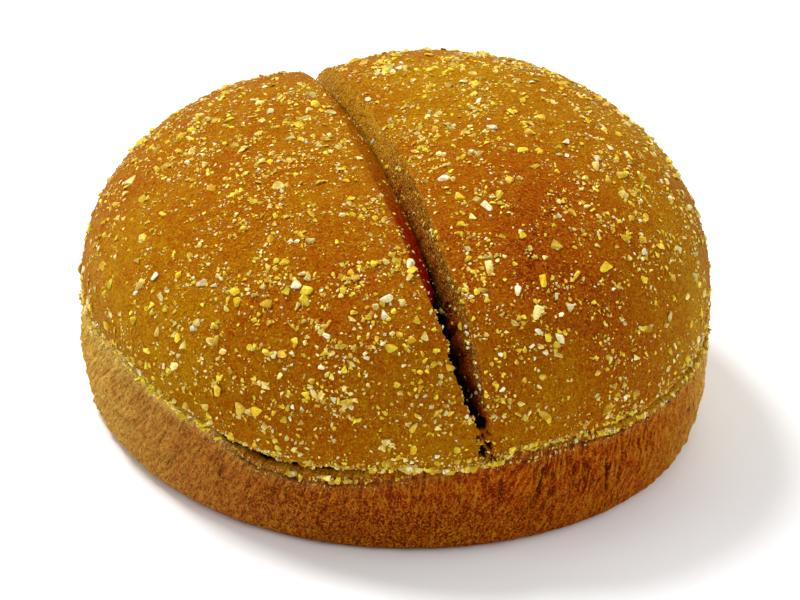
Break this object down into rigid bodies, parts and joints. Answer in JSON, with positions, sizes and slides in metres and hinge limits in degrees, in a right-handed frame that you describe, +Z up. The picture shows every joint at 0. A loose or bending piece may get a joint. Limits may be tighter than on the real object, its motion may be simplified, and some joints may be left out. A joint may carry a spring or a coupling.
{
  "type": "burger bun",
  "caption": "Round soft roll with a flat base, an overhanging domed crown split by one deep slash, and coarse cornmeal grits baked onto its crust.",
  "frame": {"origin": "on the base's plane, under the middle of the outline seen from above", "axes": "+Z up through the crown, +Y away from the viewer along the slash, +X towards the higher right lobe"},
  "size_m": [0.1022, 0.1006, 0.0496],
  "materials": {
    "crust": "golden to copper-brown baked crust, satin and finely pebbled, with a floury tan wall in the slash",
    "yellow_cornmeal": "hard yellow corn grits, a little translucent, dull",
    "pale_cornmeal": "pale cream to white corn grits and meal, dull"
  },
  "bodies": {
    "root": {"bun": "crust"}
  },
  "joints": []
}
